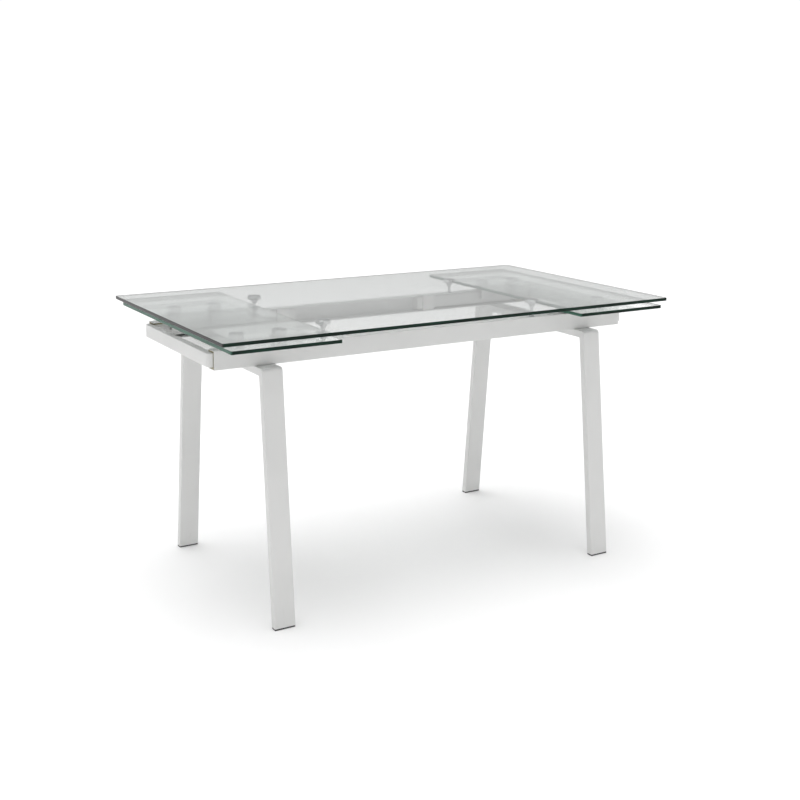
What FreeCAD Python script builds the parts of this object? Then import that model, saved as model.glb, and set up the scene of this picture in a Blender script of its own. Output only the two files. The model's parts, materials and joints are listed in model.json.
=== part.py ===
"""Extendable dining table with a fixed glass top on chrome posts and a sliding glass leaf at each end.

Frame: origin on the floor below the middle of the top, +Z up, +X along the table (right), -Y to the front.
Sizes are in millimetres. Pieces are made at the right-hand, back corner and mirrored to the other corners.
"""
import FreeCAD
import Part

import os

# ---------------------------------------------------------------- driving dimensions

# glass
TOP_LENGTH = 1400.0
TOP_WIDTH = 800.0
TOP_HEIGHT = 770.0
TOP_THICKNESS = 9.0
LEAF_LENGTH = 300.0
LEAF_INSET = 21.5               # a stored leaf's outer edge, in from the end of the top
LEAF_THICKNESS = 9.0
LEAF_GAP = 11.5                 # air between the top's underside and a leaf
EXTENDED_LENGTH = 2000.0
GLASS_CORNER_RADIUS = 4.0
GLASS_ARRIS = 0.8               # polished arris on every long edge
PAD_THICKNESS = 1.0             # clear pad between a chrome disc and its glass

# side rails: C sections open towards the middle of the table
RAIL_LENGTH = 1312.0
RAIL_OUTER_Y = 238.0
RAIL_DEPTH = 36.0
RAIL_HEIGHT = 50.0
RAIL_TOP_Z = 718.0
RAIL_WALL = 2.0

# leg frames: flat rectangular tube, an inverted U that splays to front and back
LEG_X = 516.5
LEG_WIDTH = 58.0
LEG_DEPTH = 21.0
LEG_FLOOR_Y = 347.0             # outer face of a leg, continued down to the floor
LEG_SPLAY = 0.1                 # how far the leg leans in for each millimetre up
LEG_CORNER_RADIUS = 9.0
LEG_INNER_RADIUS = 3.0
TUBE_EDGE_RADIUS = 2.0
TUBE_WALL = 1.5
FOOT_HEIGHT = 4.0
FOOT_INSET = 0.5
FOOT_SPIGOT = 20.0
PLUG_CLEARANCE = 0.2

# sliding carriages
BAR_OUTER_X = 671.0
ARM_HEIGHT = 36.0
ARM_BOTTOM_Z = 676.0
ARM_DEPTH = 20.0
SLIDE_GAP = 0.3                 # running gap on every sliding face
BAR_CORNER_RADIUS = 12.0
BAR_CROOK_RADIUS = 4.0          # inside corner between the end bar and an arm
LINER_WEB = 3.0
LINER_LENGTH = 60.0
SHOE_LENGTH = 40.0
SHOE_SPIGOT = 30.0
SHOE_EDGE_RADIUS = 1.5
BUFFER_LENGTH = 20.0
BUFFER_INSET = 6.0              # a buffer's open side, in from the channel's mouth

# chrome supports
POST_X = 341.0
DISC_RADIUS = 20.0
POST_RADIUS = 4.5
POST_FLANGE_RADIUS = 8.5
POST_FLANGE_THICKNESS = 2.0
POST_DISC_THICKNESS = 10.0
POST_ROUND_OFF = 1.0
HUB_HEIGHT = 11.0
HUB_TOP_RADIUS = 12.0
HUB_LOW_RADIUS = 7.0
DISC_PITCH = 120.0              # between the two discs of one arm
DISC_NECK_HEIGHT = 2.5
DISC_NECK_RADIUS = 14.0
DISC_ROUND_OFF = 1.5
PAD_INSET = 2.0                 # a pad's edge, in from its disc's edge
BRACKET_WIDTH = 32.0
BRACKET_THICKNESS = 3.0
BRACKET_LIFT = 2.5              # air between the rail's top and a bracket
BRACKET_BEND_RADIUS = 2.4

# fasteners
SCREW_RADIUS = 3.0
SCREW_REACH = 9.0               # how far a disc screw goes into its disc
POST_SCREW_RADIUS = 2.5
POST_SCREW_REACH = 10.0
HOLE_CLEARANCE = 0.15
HOLE_END_SPACE = 0.3            # a screw hole is this much deeper than its screw
BOLT_PITCH = 30.0
NUT_RADIUS = 4.5
NUT_BULGE_RADIUS = 6.0
NUT_LENGTH = 12.0

# tolerances for picking edges out of a shape
ON_PLANE = 1e-3
NO_LENGTH = 1e-6

# ---------------------------------------------------------------- derived dimensions

TOP_UNDERSIDE_Z = TOP_HEIGHT - TOP_THICKNESS
LEAF_TOP_Z = TOP_UNDERSIDE_Z - LEAF_GAP
LEAF_UNDERSIDE_Z = LEAF_TOP_Z - LEAF_THICKNESS
LEAF_INNER_X = TOP_LENGTH / 2 - LEAF_INSET - LEAF_LENGTH
TRAVEL = EXTENDED_LENGTH / 2 - LEAF_LENGTH - LEAF_INNER_X
LEAF_MIDDLE_X = LEAF_INNER_X + LEAF_LENGTH / 2

LEAN = (1 + LEG_SPLAY ** 2) ** 0.5      # level distance for each unit of distance square to a leg

RAIL_END_X = RAIL_LENGTH / 2
RAIL_INNER_Y = RAIL_OUTER_Y - RAIL_DEPTH
RAIL_MIDDLE_Y = (RAIL_OUTER_Y + RAIL_INNER_Y) / 2
RAIL_BOTTOM_Z = RAIL_TOP_Z - RAIL_HEIGHT
CHANNEL_TOP_Z = RAIL_TOP_Z - RAIL_WALL
CHANNEL_FLOOR_Z = RAIL_BOTTOM_Z + RAIL_WALL
CHANNEL_WEB_Y = RAIL_OUTER_Y - RAIL_WALL

ARM_TOP_Z = ARM_BOTTOM_Z + ARM_HEIGHT
ARM_OUTER_Y = CHANNEL_WEB_Y - LINER_WEB - SLIDE_GAP
ARM_INNER_Y = ARM_OUTER_Y - ARM_DEPTH
BAR_INNER_X = BAR_OUTER_X - ARM_DEPTH
ARM_START_X = BAR_OUTER_X - ARM_DEPTH - BAR_CORNER_RADIUS
LINER_INNER_X = RAIL_END_X - LINER_LENGTH
SHOE_OUTER_X = LINER_INNER_X - SLIDE_GAP - TRAVEL
SHOE_INNER_X = SHOE_OUTER_X - SHOE_LENGTH
BUFFER_OUTER_X = SHOE_INNER_X - SLIDE_GAP

BRACKET_UNDERSIDE_Z = RAIL_TOP_Z + BRACKET_LIFT
BRACKET_TOP_Z = BRACKET_UNDERSIDE_Z + BRACKET_THICKNESS
DISC_XS = (LEAF_MIDDLE_X - DISC_PITCH / 2, LEAF_MIDDLE_X + DISC_PITCH / 2)

BOLT_XS = (LEG_X - BOLT_PITCH / 2, LEG_X + BOLT_PITCH / 2)

CROSSBAR_UNDERSIDE_Z = RAIL_BOTTOM_Z - LEG_DEPTH
NUT_TOP_Z = RAIL_BOTTOM_Z - HOLE_CLEARANCE

X_AXIS = FreeCAD.Vector(1, 0, 0)
Y_AXIS = FreeCAD.Vector(0, 1, 0)
Z_AXIS = FreeCAD.Vector(0, 0, 1)
ORIGIN = FreeCAD.Vector(0, 0, 0)


# ---------------------------------------------------------------- helpers

def block(x_range, y_range, z_range):
    """A box between two corners."""
    size = [high - low for low, high in (x_range, y_range, z_range)]
    return Part.makeBox(*size, FreeCAD.Vector(x_range[0], y_range[0], z_range[0]))


def turned(x, y, profile):
    """A solid turned about the vertical line at x, y, from (radius, z) points listed upwards."""
    points = [FreeCAD.Vector(0, 0, profile[0][1])]
    points += [FreeCAD.Vector(radius, 0, z) for radius, z in profile]
    points += [FreeCAD.Vector(0, 0, profile[-1][1]), points[0]]
    face = Part.Face(Part.makePolygon(points))
    solid = face.revolve(ORIGIN, Z_AXIS, 360)
    solid.translate(FreeCAD.Vector(x, y, 0))
    return solid


def plate_in_yz(points, x_range):
    """A polygon of (y, z) points, extruded along X."""
    corners = [FreeCAD.Vector(x_range[0], y, z) for y, z in points]
    face = Part.Face(Part.makePolygon(corners + corners[:1]))
    return face.extrude(X_AXIS * (x_range[1] - x_range[0]))


def edges_along(shape, axis, keep=lambda middle: True):
    """The straight edges parallel to an axis whose middle passes a test."""
    found = []
    for edge in shape.Edges:
        direction = edge.Vertexes[-1].Point - edge.Vertexes[0].Point
        if direction.Length < NO_LENGTH or edge.Curve.TypeId != "Part::GeomLine":
            continue
        if abs(direction.normalize().dot(axis)) > 0.9999 and keep(edge.CenterOfMass):
            found.append(edge)
    return found


def mirrored(shape, to_left=False, to_front=False):
    """The mirror image of a right-hand, back piece on the other side or end of the table."""
    if to_left:
        shape = shape.mirror(ORIGIN, X_AXIS)
    if to_front:
        shape = shape.mirror(ORIGIN, Y_AXIS)
    return shape


def both_sides(make):
    """The back piece and its front mirror image, by the name of their side."""
    shape = make()
    return {"back": shape, "front": mirrored(shape, to_front=True)}


def countersunk(x, y, head_z, tip_z, radius, wall, grow=0.0):
    """A countersunk screw with its flat head at head_z and a cone as deep as the wall that it sits in."""
    way = 1 if tip_z > head_z else -1
    profile = [
        (radius + wall + grow, head_z),
        (radius + grow, head_z + way * wall),
        (radius + grow, tip_z),
    ]
    return turned(x, y, profile if way > 0 else profile[::-1])


# ---------------------------------------------------------------- glass

def glass_plate(x_range, top_z, thickness):
    """A tempered plate over the full width of the table, with rounded corners and polished arrises."""
    half_width = TOP_WIDTH / 2
    plate = block(x_range, (-half_width, half_width), (top_z - thickness, top_z))
    plate = plate.makeFillet(GLASS_CORNER_RADIUS, edges_along(plate, Z_AXIS))
    faces = [face for face in plate.Faces if abs(face.normalAt(0, 0).z) > 0.99]
    rims = [edge for face in faces for edge in face.Edges]
    return plate.makeChamfer(GLASS_ARRIS, rims)


def main_top():
    return glass_plate((-TOP_LENGTH / 2, TOP_LENGTH / 2), TOP_HEIGHT, TOP_THICKNESS)


def leaf():
    return glass_plate((LEAF_INNER_X, LEAF_INNER_X + LEAF_LENGTH), LEAF_TOP_Z, LEAF_THICKNESS)


# ---------------------------------------------------------------- side rails and what is fixed in them

def rail():
    """The back rail: a C section with countersunk holes for its post screws and leg bolts."""
    outer = block((-RAIL_END_X, RAIL_END_X), (RAIL_INNER_Y, RAIL_OUTER_Y), (RAIL_BOTTOM_Z, RAIL_TOP_Z))
    outer = outer.makeFillet(RAIL_WALL, edges_along(outer, X_AXIS, lambda middle: middle.y > RAIL_MIDDLE_Y))
    channel = block(
        (-RAIL_END_X, RAIL_END_X),
        (RAIL_INNER_Y - RAIL_WALL, CHANNEL_WEB_Y),
        (CHANNEL_FLOOR_Z, CHANNEL_TOP_Z),
    )
    holes = [post_screw_hole(side * POST_X) for side in (-1, 1)]
    holes += [leg_bolt_hole(side * x) for side in (-1, 1) for x in BOLT_XS]
    return outer.cut([channel] + holes)


def rail_liner():
    """The nylon guide in a rail's mouth. The carriage arm slides through it."""
    x_range = (LINER_INNER_X, RAIL_END_X)
    outer = block(x_range, (RAIL_INNER_Y + SLIDE_GAP, CHANNEL_WEB_Y), (CHANNEL_FLOOR_Z, CHANNEL_TOP_Z))
    passage = block(
        x_range,
        (RAIL_INNER_Y, ARM_OUTER_Y + SLIDE_GAP),
        (ARM_BOTTOM_Z - SLIDE_GAP, ARM_TOP_Z + SLIDE_GAP),
    )
    return outer.cut(passage)


def rest_buffer():
    """The rubber buffer in the channel that a carriage closes against."""
    buffer = block(
        (BUFFER_OUTER_X - BUFFER_LENGTH, BUFFER_OUTER_X),
        (RAIL_INNER_Y + BUFFER_INSET, CHANNEL_WEB_Y),
        (ARM_BOTTOM_Z, ARM_TOP_Z),
    )
    corners = edges_along(buffer, Z_AXIS, lambda middle: middle.y < RAIL_MIDDLE_Y)
    return buffer.makeFillet(SHOE_EDGE_RADIUS, corners)


# ---------------------------------------------------------------- leg frames

def leg_outer_y(z):
    return LEG_FLOOR_Y - LEG_SPLAY * z


def leg_frame_outline(depth_in=0.0):
    """The (y, z) outline of a leg frame's inverted U, drawn in by a distance from the tube's faces."""
    outer_shift = depth_in * LEAN
    inner_shift = (LEG_DEPTH - depth_in) * LEAN
    top = RAIL_BOTTOM_Z - depth_in
    under = CROSSBAR_UNDERSIDE_Z + depth_in
    right = [
        (leg_outer_y(FOOT_HEIGHT) - inner_shift, FOOT_HEIGHT),
        (leg_outer_y(FOOT_HEIGHT) - outer_shift, FOOT_HEIGHT),
        (leg_outer_y(top) - outer_shift, top),
    ]
    left = [(-y, z) for y, z in reversed(right)]
    inner = (leg_outer_y(under) - inner_shift, under)
    return right + left + [(-inner[0], inner[1]), inner]


def leg_frame():
    """The whole right-hand frame as one hollow tube, before it is cut at its mitres."""
    half = LEG_WIDTH / 2
    tube = plate_in_yz(leg_frame_outline(), (LEG_X - half, LEG_X + half))
    upper = CROSSBAR_UNDERSIDE_Z + LEG_DEPTH / 2
    corners = edges_along(tube, X_AXIS, lambda middle: middle.z > upper)
    tube = tube.makeFillet(LEG_CORNER_RADIUS, corners)
    bends = edges_along(tube, X_AXIS, lambda middle: abs(middle.z - CROSSBAR_UNDERSIDE_Z) < ON_PLANE)
    tube = tube.makeFillet(LEG_INNER_RADIUS, bends)
    rims = [
        edge for edge in tube.Edges
        if edge.BoundBox.XLength < NO_LENGTH and edge.BoundBox.ZMax > 2 * FOOT_HEIGHT
    ]
    tube = tube.makeFillet(TUBE_EDGE_RADIUS, rims)
    bore_half = half - TUBE_WALL
    bore = plate_in_yz(leg_frame_outline(TUBE_WALL), (LEG_X - bore_half, LEG_X + bore_half))
    bore_corners = edges_along(bore, X_AXIS, lambda middle: middle.z > upper)
    bore = bore.makeFillet(LEG_CORNER_RADIUS - TUBE_WALL, bore_corners)
    holes = [rivet_nut_hole(x, side * RAIL_MIDDLE_Y) for x in BOLT_XS for side in (-1, 1)]
    return tube.cut([bore] + holes)


def mitre_wedge():
    """Everything outside the mitre plane of the right-hand frame's back corner."""
    under = CROSSBAR_UNDERSIDE_Z
    outer = (leg_outer_y(RAIL_BOTTOM_Z), RAIL_BOTTOM_Z)
    inner = (leg_outer_y(under) - LEG_DEPTH * LEAN, under)
    step = ((outer[0] - inner[0]) / LEG_DEPTH, (outer[1] - inner[1]) / LEG_DEPTH)
    top = (outer[0] + step[0] * LEG_DEPTH, outer[1] + step[1] * LEG_DEPTH)
    low = (inner[0] - step[0] * LEG_DEPTH, inner[1] - step[1] * LEG_DEPTH)
    wedge = [low, top, (TOP_WIDTH, top[1]), (TOP_WIDTH, -LEG_DEPTH), (low[0], -LEG_DEPTH)]
    return plate_in_yz(wedge, (LEG_X - LEG_WIDTH, LEG_X + LEG_WIDTH))


def leg_pieces():
    """The crossbar and the back leg of the right-hand frame, which are welded at their mitres."""
    frame = leg_frame()
    wedge = mitre_wedge()
    leg = frame.common(wedge)
    crossbar = frame.cut([wedge, mirrored(wedge, to_front=True)])
    return crossbar, leg


def foot():
    """The plastic plug of a leg's open end, with the pad that the leg stands on."""
    outer = leg_outer_y(0) - FOOT_INSET
    inner = leg_outer_y(0) - LEG_DEPTH * LEAN + FOOT_INSET
    lean = LEG_SPLAY * FOOT_HEIGHT
    half = LEG_WIDTH / 2 - FOOT_INSET
    pad = plate_in_yz(
        [(inner, 0), (outer, 0), (outer - lean, FOOT_HEIGHT), (inner - lean, FOOT_HEIGHT)],
        (LEG_X - half, LEG_X + half),
    )
    corners = [
        edge for edge in pad.Edges
        if edge.BoundBox.XLength < NO_LENGTH and edge.BoundBox.ZLength > FOOT_INSET
    ]
    pad = pad.makeFillet(TUBE_EDGE_RADIUS - FOOT_INSET, corners)
    gap = TUBE_WALL + PLUG_CLEARANCE
    top = FOOT_HEIGHT + FOOT_SPIGOT
    spigot = plate_in_yz(
        [
            (leg_outer_y(FOOT_HEIGHT) - (LEG_DEPTH - gap) * LEAN, FOOT_HEIGHT),
            (leg_outer_y(FOOT_HEIGHT) - gap * LEAN, FOOT_HEIGHT),
            (leg_outer_y(top) - gap * LEAN, top),
            (leg_outer_y(top) - (LEG_DEPTH - gap) * LEAN, top),
        ],
        (LEG_X - LEG_WIDTH / 2 + gap, LEG_X + LEG_WIDTH / 2 - gap),
    )
    return pad.fuse(spigot).removeSplitter()


# ---------------------------------------------------------------- posts of the fixed top

def post(x):
    """A chrome post on the back rail: foot flange, stem, flared hub and the disc under the glass."""
    disc_top = TOP_UNDERSIDE_Z - PAD_THICKNESS
    disc_under = disc_top - POST_DISC_THICKNESS
    hub_under = disc_under - HUB_HEIGHT
    flange_top = RAIL_TOP_Z + POST_FLANGE_THICKNESS
    round_off = POST_ROUND_OFF
    solid = turned(x, RAIL_MIDDLE_Y, [
        (POST_FLANGE_RADIUS, RAIL_TOP_Z),
        (POST_FLANGE_RADIUS, flange_top - round_off),
        (POST_FLANGE_RADIUS - round_off, flange_top),
        (POST_RADIUS, flange_top),
        (POST_RADIUS, hub_under),
        (HUB_LOW_RADIUS, hub_under),
        (HUB_TOP_RADIUS, disc_under),
        (DISC_RADIUS - round_off, disc_under),
        (DISC_RADIUS, disc_under + round_off),
        (DISC_RADIUS, disc_top - round_off),
        (DISC_RADIUS - round_off, disc_top),
    ])
    return solid.cut(post_screw_hole(x))


def post_screw(x, grow=0.0, deeper=0.0):
    """The countersunk screw that holds a post, from inside the back rail."""
    tip = RAIL_TOP_Z + POST_SCREW_REACH + deeper
    return countersunk(x, RAIL_MIDDLE_Y, CHANNEL_TOP_Z, tip, POST_SCREW_RADIUS, RAIL_WALL, grow)


def post_screw_hole(x):
    return post_screw(x, HOLE_CLEARANCE, HOLE_END_SPACE)


def pad(x, glass_z):
    """The clear pad between a disc and the glass above it."""
    radius = DISC_RADIUS - PAD_INSET
    return turned(x, RAIL_MIDDLE_Y, [(radius, glass_z - PAD_THICKNESS), (radius, glass_z)])


# ---------------------------------------------------------------- leg bolts

def leg_bolt(x, grow=0.0):
    """A countersunk bolt from inside the back rail's lower flange down into a crossbar."""
    tip = RAIL_BOTTOM_Z - NUT_LENGTH
    return countersunk(x, RAIL_MIDDLE_Y, CHANNEL_FLOOR_Z, tip, SCREW_RADIUS, RAIL_WALL, grow)


def leg_bolt_hole(x):
    return leg_bolt(x, HOLE_CLEARANCE)


def rivet_nut(x):
    """The threaded insert that a leg bolt turns into, set in the crossbar's upper wall."""
    wall_under = RAIL_BOTTOM_Z - TUBE_WALL
    body = turned(x, RAIL_MIDDLE_Y, [
        (NUT_RADIUS, RAIL_BOTTOM_Z - NUT_LENGTH - TUBE_WALL),
        (NUT_RADIUS, wall_under - 2 * TUBE_WALL),
        (NUT_BULGE_RADIUS, wall_under - TUBE_WALL),
        (NUT_BULGE_RADIUS, wall_under - HOLE_CLEARANCE),
        (NUT_RADIUS, wall_under - HOLE_CLEARANCE),
        (NUT_RADIUS, NUT_TOP_Z),
    ])
    bore = turned(x, RAIL_MIDDLE_Y, [
        (SCREW_RADIUS + HOLE_CLEARANCE, RAIL_BOTTOM_Z - 2 * NUT_LENGTH),
        (SCREW_RADIUS + HOLE_CLEARANCE, RAIL_BOTTOM_Z),
    ])
    return body.cut(bore)


def rivet_nut_hole(x, y):
    radius = NUT_RADIUS + HOLE_CLEARANCE
    return turned(x, y, [(radius, RAIL_BOTTOM_Z - 2 * TUBE_WALL), (radius, RAIL_BOTTOM_Z + TUBE_WALL)])


# ---------------------------------------------------------------- sliding carriage, right-hand one

def hollow(x_range, y_range, z_range, open_x=(False, False)):
    """The bore of a rectangular tube. It runs past the tube at an open end."""
    wall = TUBE_WALL
    x_low = x_range[0] + (-wall if open_x[0] else wall)
    x_high = x_range[1] + (wall if open_x[1] else -wall)
    return block(
        (x_low, x_high),
        (y_range[0] + wall, y_range[1] - wall),
        (z_range[0] + wall, z_range[1] - wall),
    )


def end_bar():
    """The carriage's end bar. Its two rounded corners turn into the arms."""
    z_range = (ARM_BOTTOM_Z, ARM_TOP_Z)
    outer = block((ARM_START_X, BAR_OUTER_X), (-ARM_OUTER_Y, ARM_OUTER_Y), z_range)
    notch = block((ARM_START_X, BAR_INNER_X), (-ARM_INNER_Y, ARM_INNER_Y), z_range)
    bar = outer.cut(notch)
    bar_middle_x = (BAR_INNER_X + BAR_OUTER_X) / 2
    corners = edges_along(bar, Z_AXIS, lambda middle: middle.x > bar_middle_x)
    bar = bar.makeFillet(BAR_CORNER_RADIUS, corners)
    crooks = edges_along(bar, Z_AXIS, lambda middle: abs(middle.x - BAR_INNER_X) < ON_PLANE)
    bar = bar.makeFillet(BAR_CROOK_RADIUS, crooks)
    rims = [
        edge for edge in bar.Edges
        if edge.BoundBox.ZLength < NO_LENGTH and edge.BoundBox.XMax > ARM_START_X + ON_PLANE
    ]
    bar = bar.makeFillet(TUBE_EDGE_RADIUS, rims)
    cross_bore = hollow((BAR_INNER_X, BAR_OUTER_X), (-ARM_OUTER_Y, ARM_OUTER_Y), z_range)
    bore_corners = edges_along(cross_bore, Z_AXIS, lambda middle: middle.x > bar_middle_x)
    cross_bore = cross_bore.makeFillet(BAR_CORNER_RADIUS - TUBE_WALL, bore_corners)
    arm_bore_x = (ARM_START_X, BAR_INNER_X + 2 * TUBE_WALL)
    arm_bore = hollow(arm_bore_x, (ARM_INNER_Y, ARM_OUTER_Y), z_range, (True, True))
    return bar.cut([cross_bore, arm_bore, mirrored(arm_bore, to_front=True)])


def arm():
    """The back arm: a straight tube from the end bar's corner to the shoe."""
    x_range = (SHOE_OUTER_X, ARM_START_X)
    y_range = (ARM_INNER_Y, ARM_OUTER_Y)
    z_range = (ARM_BOTTOM_Z, ARM_TOP_Z)
    tube = block(x_range, y_range, z_range)
    tube = tube.makeFillet(TUBE_EDGE_RADIUS, edges_along(tube, X_AXIS))
    return tube.cut(hollow(x_range, y_range, z_range, (True, True)))


def shoe():
    """The nylon shoe on an arm's inner end. It slides in the channel and stops at the liner."""
    gap = SLIDE_GAP
    slider = block(
        (SHOE_INNER_X, SHOE_OUTER_X),
        (RAIL_INNER_Y + LINER_WEB, CHANNEL_WEB_Y - gap),
        (CHANNEL_FLOOR_Z + gap, CHANNEL_TOP_Z - gap),
    )
    slider = slider.makeFillet(SHOE_EDGE_RADIUS, edges_along(slider, X_AXIS))
    inset = TUBE_WALL + PLUG_CLEARANCE
    spigot = block(
        (SHOE_OUTER_X, SHOE_OUTER_X + SHOE_SPIGOT),
        (ARM_INNER_Y + inset, ARM_OUTER_Y - inset),
        (ARM_BOTTOM_Z + inset, ARM_TOP_Z - inset),
    )
    return slider.fuse(spigot)


def bracket(x):
    """The welded bracket that reaches out of the channel, up and back over the rail to carry a disc."""
    x_range = (x - BRACKET_WIDTH / 2, x + BRACKET_WIDTH / 2)
    upright_y = RAIL_INNER_Y - LINER_WEB + SLIDE_GAP
    root_z = (ARM_BOTTOM_Z + ARM_TOP_Z) / 2
    thick = BRACKET_THICKNESS
    profile = [
        (ARM_INNER_Y, root_z - thick),
        (ARM_INNER_Y, root_z),
        (upright_y, root_z),
        (upright_y, BRACKET_UNDERSIDE_Z),
        (RAIL_OUTER_Y, BRACKET_UNDERSIDE_Z),
        (RAIL_OUTER_Y, BRACKET_TOP_Z),
        (upright_y - thick, BRACKET_TOP_Z),
        (upright_y - thick, root_z - thick),
    ]
    plate = plate_in_yz(profile, x_range)
    bend = edges_along(plate, X_AXIS, lambda middle: middle.y < upright_y - thick / 2)
    plate = plate.makeFillet(BRACKET_BEND_RADIUS, bend)
    return plate.cut(disc_screw_hole(x))


def leaf_disc(x):
    """A chrome disc under a leaf: a short neck on the bracket and a deep round head."""
    head_top = LEAF_UNDERSIDE_Z - PAD_THICKNESS
    neck_top = BRACKET_TOP_Z + DISC_NECK_HEIGHT
    solid = turned(x, RAIL_MIDDLE_Y, [
        (DISC_NECK_RADIUS, BRACKET_TOP_Z),
        (DISC_NECK_RADIUS, neck_top),
        (DISC_RADIUS - DISC_ROUND_OFF, neck_top),
        (DISC_RADIUS, neck_top + DISC_ROUND_OFF),
        (DISC_RADIUS, head_top - DISC_ROUND_OFF),
        (DISC_RADIUS - DISC_ROUND_OFF, head_top),
    ])
    return solid.cut(disc_screw_hole(x))


def disc_screw(x, grow=0.0, deeper=0.0):
    """The countersunk screw from under a bracket up into its disc."""
    tip = BRACKET_TOP_Z + SCREW_REACH + deeper
    return countersunk(x, RAIL_MIDDLE_Y, BRACKET_UNDERSIDE_Z, tip, SCREW_RADIUS, BRACKET_THICKNESS, grow)


def disc_screw_hole(x):
    return disc_screw(x, HOLE_CLEARANCE, HOLE_END_SPACE)


# ---------------------------------------------------------------- assembly

def fixed_nodes():
    """Every piece that stands still, by node name."""
    nodes = {"main_top_glass": main_top()}
    for side, shape in both_sides(rail).items():
        nodes[side + "_rail"] = shape
    crossbar, leg = leg_pieces()
    groups = {"post_pads": [], "post_screws": [], "leg_bolts": [], "rivet_nuts": [], "rest_buffers": []}
    for end, to_left in (("left", True), ("right", False)):
        nodes[end + "_crossbar"] = mirrored(crossbar, to_left)
        for side, to_front in (("front", True), ("back", False)):
            name = end + "_" + side
            nodes[name + "_leg"] = mirrored(leg, to_left, to_front)
            nodes[name + "_foot"] = mirrored(foot(), to_left, to_front)
            nodes[name + "_post"] = mirrored(post(POST_X), to_left, to_front)
            nodes[name + "_liner"] = mirrored(rail_liner(), to_left, to_front)
            groups["post_pads"].append(mirrored(pad(POST_X, TOP_UNDERSIDE_Z), to_left, to_front))
            groups["post_screws"].append(mirrored(post_screw(POST_X), to_left, to_front))
            groups["rest_buffers"].append(mirrored(rest_buffer(), to_left, to_front))
            for x in BOLT_XS:
                groups["leg_bolts"].append(mirrored(leg_bolt(x), to_left, to_front))
                groups["rivet_nuts"].append(mirrored(rivet_nut(x), to_left, to_front))
    for name, solids in groups.items():
        nodes[name] = Part.makeCompound(solids)
    return nodes


def carriage_nodes(end, to_left):
    """Every piece that slides with one leaf, by node name."""
    nodes = {
        end + "_leaf_glass": mirrored(leaf(), to_left),
        end + "_end_bar": mirrored(end_bar(), to_left),
    }
    pads = []
    screws = []
    for side, to_front in (("front", True), ("back", False)):
        name = end + "_" + side
        nodes[name + "_arm"] = mirrored(arm(), to_left, to_front)
        nodes[name + "_shoe"] = mirrored(shoe(), to_left, to_front)
        brackets = [mirrored(bracket(x), to_left, to_front) for x in DISC_XS]
        nodes[name + "_brackets"] = Part.makeCompound(brackets)
        for place, x in zip(("inner", "outer"), DISC_XS):
            nodes[name + "_" + place + "_disc"] = mirrored(leaf_disc(x), to_left, to_front)
            pads.append(mirrored(pad(x, LEAF_UNDERSIDE_Z), to_left, to_front))
            screws.append(mirrored(disc_screw(x), to_left, to_front))
    nodes[end + "_leaf_pads"] = Part.makeCompound(pads)
    nodes[end + "_disc_screws"] = Part.makeCompound(screws)
    return nodes


def build():
    nodes = fixed_nodes()
    nodes.update(carriage_nodes("left", True))
    nodes.update(carriage_nodes("right", False))
    os.makedirs("parts", exist_ok=True)
    for name, shape in nodes.items():
        shape.exportStep("parts/" + name + ".step")
        print(name, len(shape.Solids), round(shape.Volume), shape.isValid())


build()
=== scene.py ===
import json
import math

import bmesh
import bpy
from mathutils import Matrix, Vector


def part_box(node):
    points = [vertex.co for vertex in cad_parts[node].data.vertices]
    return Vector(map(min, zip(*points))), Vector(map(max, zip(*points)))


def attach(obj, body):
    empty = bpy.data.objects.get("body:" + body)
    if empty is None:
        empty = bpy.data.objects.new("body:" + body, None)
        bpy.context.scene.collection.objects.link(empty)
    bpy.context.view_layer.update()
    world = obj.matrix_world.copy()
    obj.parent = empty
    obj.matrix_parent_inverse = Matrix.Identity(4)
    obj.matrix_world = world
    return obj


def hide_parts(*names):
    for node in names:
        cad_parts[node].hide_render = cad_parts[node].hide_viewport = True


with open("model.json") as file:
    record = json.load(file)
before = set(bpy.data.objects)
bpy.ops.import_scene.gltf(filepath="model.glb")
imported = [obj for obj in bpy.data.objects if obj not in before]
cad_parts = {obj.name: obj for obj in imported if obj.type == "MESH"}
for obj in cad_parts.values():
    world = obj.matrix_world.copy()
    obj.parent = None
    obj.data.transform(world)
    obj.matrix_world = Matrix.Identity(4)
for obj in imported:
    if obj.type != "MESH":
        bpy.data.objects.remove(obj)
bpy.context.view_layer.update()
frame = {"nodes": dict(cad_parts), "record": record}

# ---------------------------------------------------------------- sizes in metres, tones as linear levels

# camera: where it stands from the middle of the floor print, and how it looks
CAMERA_PLACE = Vector((-1.796, -3.045, 1.353))
CAMERA_YAW = math.radians(30.88)
CAMERA_PITCH = math.radians(8.21)
CAMERA_ROLL = math.radians(-0.39)
CAMERA_FOCAL_RATIO = 1.5326      # focal length over the sensor's width
CAMERA_SHIFT_Y = -0.16
CAMERA_CLIP_END = 1000.0
SENSOR_WIDTH = 36.0

FLOOR_SIZE = 400.0
FLOOR_TONE = 0.92

# the studio sky: the sine of the angle above the horizon, and how bright it is there
SKY_STOPS = ((0.0, 1.04), (0.075, 1.04), (0.13, 0.52), (0.40, 0.55), (0.60, 0.80), (1.0, 0.80))

# the large soft light overhead
TOP_LIGHT_STRENGTH = 1.7
TOP_LIGHT_SPREAD = math.radians(50.0)
TOP_LIGHT_AIM = Vector((0.06, -0.10, -1.0))

# how often light may turn on its way: both plates have to stay clear behind one another
BOUNCES = {"max_bounces": 24, "transmission_bounces": 20, "glossy_bounces": 12, "diffuse_bounces": 4}

# glass: its refraction, its clear coat, the lowered refraction of its edge, and the tint of its depth
GLASS_IOR = 1.52
COAT_WEIGHT = 0.5
COAT_IOR = 1.5
EDGE_IOR = 1.22
GLASS_TINT = (0.30, 0.62, 0.47, 1.0)
GLASS_DENSITY = 4.5
FLAT_FACE = 0.9                  # a plate's face is flat where the Z of its normal is above this

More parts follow.
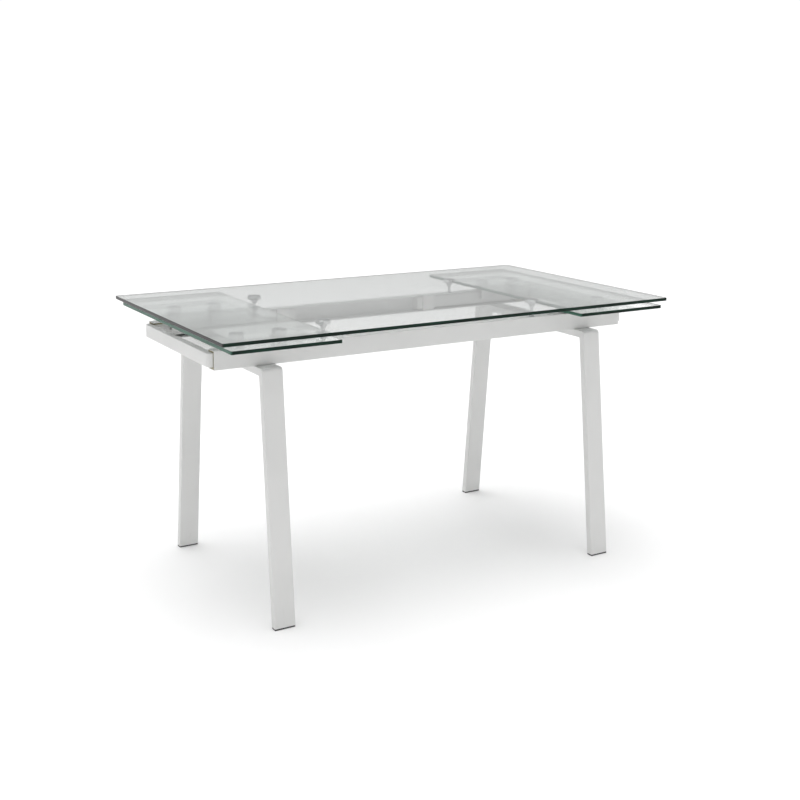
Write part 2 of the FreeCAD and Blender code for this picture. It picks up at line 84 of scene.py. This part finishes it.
# a plate's edge in painted shade: the darkest and lightest tones of its long sides and of its ends, set apart
# by which way the edge faces
TOP_EDGE_SIDE_PAINTED_SHADES = ((0.0035, 0.0095, 0.0065), (0.006, 0.030, 0.019))
TOP_EDGE_END_PAINTED_SHADES = ((0.030, 0.028, 0.029), (0.050, 0.047, 0.048))
LEAF_EDGE_SIDE_PAINTED_SHADES = ((0.0035, 0.0090, 0.0060), (0.007, 0.034, 0.021))
LEAF_EDGE_END_PAINTED_SHADES = ((0.040, 0.105, 0.075), (0.085, 0.185, 0.140))

# the darkest and lightest tones of each other material
COAT_SHADES = ((0.670, 0.672, 0.664), (0.705, 0.706, 0.698))
CHROME_SHADES = ((0.48, 0.49, 0.50), (0.60, 0.60, 0.60))
ZINC_SHADES = ((0.42, 0.42, 0.40), (0.62, 0.62, 0.58))
OLIVE_NYLON_SHADES = ((0.17, 0.145, 0.065), (0.24, 0.21, 0.11))
WHITE_NYLON_SHADES = ((0.74, 0.74, 0.72), (0.80, 0.80, 0.78))
DARK_PLASTIC_SHADES = ((0.020, 0.020, 0.020), (0.035, 0.035, 0.034))
WHITE_RUBBER_SHADES = ((0.66, 0.66, 0.64), (0.74, 0.74, 0.72))
# the pads' dark tones are painted shade of the gap between disc and glass
PAD_PAINTED_SHADES = ((0.10, 0.11, 0.11), (0.18, 0.19, 0.19))

SCUFF_SHADE = (0.56, 0.55, 0.53)
SCUFF_HEIGHT = 0.10              # scuffs on the coat thin out up to this height

PAD_RADIUS = 0.018
PAD_ROUND = 0.0003               # how far a pad's rim bulges past its faces
PAD_HAIR = 0.00005               # a pad's clearance from the glass and from the chrome
PAD_SEGMENTS = 48

# ---------------------------------------------------------------- node helpers


def new_material(name):
    """A material with an empty node tree, its tree and its output."""
    material = bpy.data.materials.new(name)
    material.use_nodes = True
    tree = material.node_tree
    tree.nodes.clear()
    output = tree.nodes.new("ShaderNodeOutputMaterial")
    return material, tree, output


def node(tree, kind, inputs=None, **properties):
    """A shader node with its unlinked inputs and its properties set by name."""
    made = tree.nodes.new("ShaderNode" + kind)
    for name, value in properties.items():
        setattr(made, name, value)
    for name, value in (inputs or {}).items():
        made.inputs[name].default_value = value
    return made


def link(tree, source, target):
    tree.links.new(source, target)


def noise(tree, scale, detail=3.0, roughness=0.5, stretch=(1, 1, 1)):
    """Noise over the object's own coordinates, in turns per metre."""
    place = node(tree, "TexCoord")
    mapping = node(tree, "Mapping", {"Scale": stretch})
    texture = node(tree, "TexNoise", {"Scale": scale, "Detail": detail, "Roughness": roughness})
    link(tree, place.outputs["Object"], mapping.inputs["Vector"])
    link(tree, mapping.outputs["Vector"], texture.inputs["Vector"])
    return texture.outputs["Fac"]


def remap(tree, value, given, wanted):
    """A value taken from one range to another."""
    ramp = node(tree, "MapRange", {
        "From Min": given[0],
        "From Max": given[1],
        "To Min": wanted[0],
        "To Max": wanted[1],
    })
    link(tree, value, ramp.inputs["Value"])
    return ramp.outputs["Result"]


def blend_colours(tree, factor, first, second):
    """Two colours, each a tuple or a socket, mixed by a factor."""
    mix = node(tree, "Mix", data_type="RGBA")
    factor_input, first_input, second_input = mix.inputs[0], mix.inputs[6], mix.inputs[7]
    for socket, colour in ((first_input, first), (second_input, second)):
        if isinstance(colour, tuple):
            socket.default_value = colour + (1.0,)
        else:
            link(tree, colour, socket)
    link(tree, factor, factor_input)
    colour_output = mix.outputs[2]
    return colour_output


def bump(tree, height, distance, strength=1.0):
    """A bump of the surface by a height, over a distance in metres."""
    made = node(tree, "Bump", {"Distance": distance, "Strength": strength})
    link(tree, height, made.inputs["Height"])
    return made.outputs["Normal"]


# ---------------------------------------------------------------- materials


def powder_coat():
    """Satin white powder coat: a fine orange peel, slightly uneven gloss, and faint scuffs near the floor."""
    material, tree, output = new_material("white_powder_coat")
    shader = node(tree, "BsdfPrincipled")
    cloud = remap(tree, noise(tree, 6.0, detail=4.0), (0.3, 0.7), (0.0, 1.0))
    base = blend_colours(tree, cloud, *COAT_SHADES)
    place = node(tree, "TexCoord")
    position = node(tree, "SeparateXYZ")
    link(tree, place.outputs["Object"], position.inputs[0])
    low_down = remap(tree, position.outputs["Z"], (0.0, SCUFF_HEIGHT), (1.0, 0.0))
    marks = noise(tree, 45.0, detail=6.0, roughness=0.7, stretch=(1, 1, 0.35))
    scuff = remap(tree, marks, (0.56, 0.70), (0.0, 0.55))
    worn = node(tree, "Math", operation="MULTIPLY")
    link(tree, low_down, worn.inputs[0])
    link(tree, scuff, worn.inputs[1])
    link(tree, blend_colours(tree, worn.outputs[0], base, SCUFF_SHADE), shader.inputs["Base Color"])
    gloss = remap(tree, noise(tree, 22.0), (0.3, 0.7), (0.36, 0.46))
    link(tree, gloss, shader.inputs["Roughness"])
    peel = noise(tree, 650.0, detail=2.0, roughness=0.45)
    link(tree, bump(tree, peel, 0.00012, strength=0.55), shader.inputs["Normal"])
    link(tree, shader.outputs[0], output.inputs["Surface"])
    return material


def clear_glass():
    """Tempered float glass through its faces: faintly green by its depth, with wiped smears on it."""
    material, tree, output = new_material("clear_glass")
    shader = node(tree, "BsdfPrincipled", {
        "Base Color": (1.0, 1.0, 1.0, 1.0),
        "IOR": GLASS_IOR,
        "Transmission Weight": 1.0,
        "Coat Weight": COAT_WEIGHT,
        "Coat IOR": COAT_IOR,
        "Coat Roughness": 0.0,
    })
    wiped = noise(tree, 5.0, detail=5.0, roughness=0.6, stretch=(1, 0.5, 1))
    link(tree, remap(tree, wiped, (0.45, 0.75), (0.0, 0.012)), shader.inputs["Roughness"])
    link(tree, shader.outputs[0], output.inputs["Surface"])
    depth = node(tree, "VolumeAbsorption", {"Color": GLASS_TINT, "Density": GLASS_DENSITY})
    link(tree, depth.outputs[0], output.inputs["Volume"])
    return material


def glass_edge(name, side_painted_shades, end_painted_shades):
    """A plate's ground and polished edge, in painted shade: its dark colour stands in for the depth of glass
    behind it.

    The object's own normal picks the painted tones: one pair along the plate's sides, another at its ends.
    """
    material, tree, output = new_material(name)
    shader = node(tree, "BsdfPrincipled", {"IOR": EDGE_IOR})
    drawn = noise(tree, 7.0, detail=4.0, roughness=0.6, stretch=(1, 1, 30))
    streaks = remap(tree, drawn, (0.40, 0.68), (0.0, 1.0))
    side = blend_colours(tree, streaks, *side_painted_shades)
    end = blend_colours(tree, streaks, *end_painted_shades)
    place = node(tree, "TexCoord")
    normal = node(tree, "SeparateXYZ")
    link(tree, place.outputs["Normal"], normal.inputs[0])
    endwise = node(tree, "Math", operation="ABSOLUTE")
    link(tree, normal.outputs["X"], endwise.inputs[0])
    # painted shade: the tone follows which way the edge faces, with the ends lighter than the sides
    link(tree, blend_colours(tree, endwise.outputs[0], side, end), shader.inputs["Base Color"])
    grind = noise(tree, 90.0, detail=4.0, roughness=0.6, stretch=(1, 1, 12))
    link(tree, remap(tree, grind, (0.3, 0.7), (0.04, 0.16)), shader.inputs["Roughness"])
    link(tree, bump(tree, grind, 0.00005, strength=0.4), shader.inputs["Normal"])
    link(tree, shader.outputs[0], output.inputs["Surface"])
    return material


def chrome():
    """Polished chrome with faint handling marks."""
    material, tree, output = new_material("chrome")
    shader = node(tree, "BsdfPrincipled", {"Metallic": 1.0})
    cloud = remap(tree, noise(tree, 60.0, detail=4.0), (0.35, 0.65), (0.0, 1.0))
    link(tree, blend_colours(tree, cloud, *CHROME_SHADES), shader.inputs["Base Color"])
    marks = remap(tree, noise(tree, 240.0, detail=5.0, roughness=0.65), (0.45, 0.75), (0.05, 0.16))
    link(tree, marks, shader.inputs["Roughness"])
    ripple = noise(tree, 90.0, detail=2.0)
    link(tree, bump(tree, ripple, 0.00004, strength=0.4), shader.inputs["Normal"])
    link(tree, shader.outputs[0], output.inputs["Surface"])
    return material


def moulded(name, shades, gloss, grain, subsurface=0.0):
    """A moulded plastic or rubber with a fine moulded grain, of so many turns per metre."""
    material, tree, output = new_material(name)
    shader = node(tree, "BsdfPrincipled", {"Subsurface Weight": subsurface, "Subsurface Scale": 0.002})
    tone = remap(tree, noise(tree, 40.0, detail=4.0), (0.3, 0.7), (0.0, 1.0))
    link(tree, blend_colours(tree, tone, *shades), shader.inputs["Base Color"])
    link(tree, remap(tree, noise(tree, 120.0), (0.3, 0.7), gloss), shader.inputs["Roughness"])
    link(tree, bump(tree, noise(tree, grain, detail=2.0), 0.0001, strength=0.5), shader.inputs["Normal"])
    link(tree, shader.outputs[0], output.inputs["Surface"])
    return material


def clear_pad():
    """The clear adhesive pad on a disc, given a dark base colour as painted shade of the thin gap between the
    chrome and the glass.
    """
    material, tree, output = new_material("clear_pad")
    shader = node(tree, "BsdfPrincipled", {"Transmission Weight": 0.1})
    tone = remap(tree, noise(tree, 150.0), (0.3, 0.7), (0.0, 1.0))
    # painted shade: the pad's dark base colour stands in for the shaded gap between the chrome and the glass
    link(tree, blend_colours(tree, tone, *PAD_PAINTED_SHADES), shader.inputs["Base Color"])
    link(tree, remap(tree, noise(tree, 90.0), (0.3, 0.7), (0.15, 0.3)), shader.inputs["Roughness"])
    link(tree, shader.outputs[0], output.inputs["Surface"])
    return material


def zinc_steel():
    """Zinc-plated steel: grey with a mottled sheen."""
    material, tree, output = new_material("zinc_steel")
    shader = node(tree, "BsdfPrincipled", {"Metallic": 1.0})
    mottle = remap(tree, noise(tree, 180.0, detail=5.0, roughness=0.6), (0.3, 0.7), (0.0, 1.0))
    link(tree, blend_colours(tree, mottle, *ZINC_SHADES), shader.inputs["Base Color"])
    link(tree, remap(tree, mottle, (0.0, 1.0), (0.28, 0.42)), shader.inputs["Roughness"])
    link(tree, bump(tree, noise(tree, 700.0), 0.00003, strength=0.5), shader.inputs["Normal"])
    link(tree, shader.outputs[0], output.inputs["Surface"])
    return material


MATERIALS = {
    "white_powder_coat": powder_coat(),
    "clear_glass": clear_glass(),
    "chrome": chrome(),
    "olive_nylon": moulded("olive_nylon", OLIVE_NYLON_SHADES, (0.35, 0.5), 500.0, subsurface=0.1),
    "white_nylon": moulded("white_nylon", WHITE_NYLON_SHADES, (0.35, 0.5), 500.0, subsurface=0.1),
    "dark_plastic": moulded("dark_plastic", DARK_PLASTIC_SHADES, (0.45, 0.6), 700.0),
    "white_rubber": moulded("white_rubber", WHITE_RUBBER_SHADES, (0.6, 0.8), 500.0),
    "clear_pad": clear_pad(),
    "zinc_steel": zinc_steel(),
}
# each plate's edge carries painted shade in its base colour
TOP_EDGE = glass_edge("top_glass_edge", TOP_EDGE_SIDE_PAINTED_SHADES, TOP_EDGE_END_PAINTED_SHADES)
LEAF_EDGE = glass_edge("leaf_glass_edge", LEAF_EDGE_SIDE_PAINTED_SHADES, LEAF_EDGE_END_PAINTED_SHADES)


def dress_cad_nodes():
    """Gives every CAD node the material of its slot in the record, and the edges of each plate their own."""
    for subpart in frame["record"]["subparts"]:
        piece = frame["nodes"][subpart["node"]]
        piece.data.materials.clear()
        piece.data.materials.append(MATERIALS[subpart["material_slot"]])
        if subpart["material_slot"] == "clear_glass":
            piece.data.materials.append(TOP_EDGE if subpart["node"] == "main_top_glass" else LEAF_EDGE)
            for face in piece.data.polygons:
                face.material_index = 0 if abs(face.normal.z) > FLAT_FACE else 1


# ---------------------------------------------------------------- pads between the discs and the glass


def ring(mesh, x, y, z, radius):
    """A level circle of vertices."""
    turns = [math.tau * step / PAD_SEGMENTS for step in range(PAD_SEGMENTS)]
    return [mesh.verts.new((x + radius * math.cos(turn), y + radius * math.sin(turn), z)) for turn in turns]


def turned_pad(mesh, x, y, bottom, top):
    """One pad, widest half way up."""
    rings = [
        ring(mesh, x, y, bottom, PAD_RADIUS - PAD_ROUND),
        ring(mesh, x, y, (bottom + top) / 2, PAD_RADIUS),
        ring(mesh, x, y, top, PAD_RADIUS - PAD_ROUND),
    ]
    mesh.faces.new(rings[0][::-1])
    mesh.faces.new(rings[-1])
    for lower, upper in zip(rings, rings[1:]):
        for step in range(PAD_SEGMENTS):
            after = (step + 1) % PAD_SEGMENTS
            mesh.faces.new((lower[step], lower[after], upper[after], upper[step]))


def soft_pads(node_name, body):
    """Pads with rounded rims, one on each disc, a hair clear of the glass above and the chrome below."""
    low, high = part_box(node_name)
    mesh = bmesh.new()
    for x in (low[0] + PAD_RADIUS, high[0] - PAD_RADIUS):
        for y in (low[1] + PAD_RADIUS, high[1] - PAD_RADIUS):
            turned_pad(mesh, x, y, low[2] + PAD_HAIR, high[2] - PAD_HAIR)
    name = "soft_" + node_name
    data = bpy.data.meshes.new(name)
    mesh.to_mesh(data)
    mesh.free()
    data.materials.append(MATERIALS["clear_pad"])
    piece = bpy.data.objects.new(name, data)
    bpy.context.scene.collection.objects.link(piece)
    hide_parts(node_name)
    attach(piece, body)


# ---------------------------------------------------------------- stage, light and camera


def make_floor():
    """A large, even, pale floor."""
    half = FLOOR_SIZE / 2
    mesh = bpy.data.meshes.new("studio_floor")
    corners = [(-half, -half, 0), (half, -half, 0), (half, half, 0), (-half, half, 0)]
    mesh.from_pydata(corners, [], [(0, 1, 2, 3)])
    floor = bpy.data.objects.new("studio_floor", mesh)
    bpy.context.scene.collection.objects.link(floor)
    material, tree, output = new_material("studio_floor")
    shader = node(tree, "BsdfDiffuse", {"Color": (FLOOR_TONE, FLOOR_TONE, FLOOR_TONE, 1.0)})
    link(tree, shader.outputs[0], output.inputs["Surface"])
    mesh.materials.append(material)


def make_sky():
    """A plain studio sky: white at the horizon, light grey above it."""
    world = bpy.data.worlds.new("studio")
    bpy.context.scene.world = world
    world.use_nodes = True
    tree = world.node_tree
    tree.nodes.clear()
    place = node(tree, "TexCoord")
    height = node(tree, "SeparateXYZ")
    link(tree, place.outputs["Generated"], height.inputs[0])
    ramp = node(tree, "ValToRGB")
    elements = ramp.color_ramp.elements
    while len(elements) < len(SKY_STOPS):
        elements.new(0.5)
    for element, (place_on_ramp, level) in zip(elements, SKY_STOPS):
        element.position = place_on_ramp
        element.color = (level, level, level, 1.0)
    link(tree, height.outputs["Z"], ramp.inputs[0])
    background = node(tree, "Background")
    link(tree, ramp.outputs["Color"], background.inputs["Color"])
    output = node(tree, "OutputWorld")
    link(tree, background.outputs[0], output.inputs["Surface"])


def make_top_light():
    """The large soft light overhead, even over the whole floor, and left out of first reflections."""
    light = bpy.data.lights.new("top_light", "SUN")
    light.energy = TOP_LIGHT_STRENGTH
    light.angle = TOP_LIGHT_SPREAD
    lamp = bpy.data.objects.new("top_light", light)
    lamp.rotation_mode = "QUATERNION"
    lamp.rotation_quaternion = TOP_LIGHT_AIM.to_track_quat("-Z", "Y")
    lamp.visible_glossy = False
    bpy.context.scene.collection.objects.link(lamp)


def make_camera():
    """The camera, from its yaw, pitch and roll."""
    level = math.cos(CAMERA_PITCH)
    ahead = Vector((math.sin(CAMERA_YAW) * level, math.cos(CAMERA_YAW) * level, -math.sin(CAMERA_PITCH)))
    right = Vector((math.cos(CAMERA_YAW), -math.sin(CAMERA_YAW), 0.0))
    down = ahead.cross(right)
    rolled_right = math.cos(CAMERA_ROLL) * right + math.sin(CAMERA_ROLL) * down
    rolled_down = math.cos(CAMERA_ROLL) * down - math.sin(CAMERA_ROLL) * right
    data = bpy.data.cameras.new("camera")
    data.sensor_width = SENSOR_WIDTH
    data.lens = CAMERA_FOCAL_RATIO * SENSOR_WIDTH
    data.shift_y = CAMERA_SHIFT_Y
    data.dof.use_dof = False
    data.clip_end = CAMERA_CLIP_END
    camera = bpy.data.objects.new("camera", data)
    turn = Matrix((rolled_right, -rolled_down, -ahead)).transposed()
    camera.matrix_world = Matrix.Translation(CAMERA_PLACE) @ turn.to_4x4()
    bpy.context.scene.collection.objects.link(camera)
    bpy.context.scene.camera = camera


dress_cad_nodes()
soft_pads("post_pads", "frame")
soft_pads("left_leaf_pads", "left_leaf")
soft_pads("right_leaf_pads", "right_leaf")
make_floor()
make_sky()
make_top_light()
make_camera()

scene = bpy.context.scene
scene.view_settings.view_transform = "Standard"
for setting, count in BOUNCES.items():
    setattr(scene.cycles, setting, count)
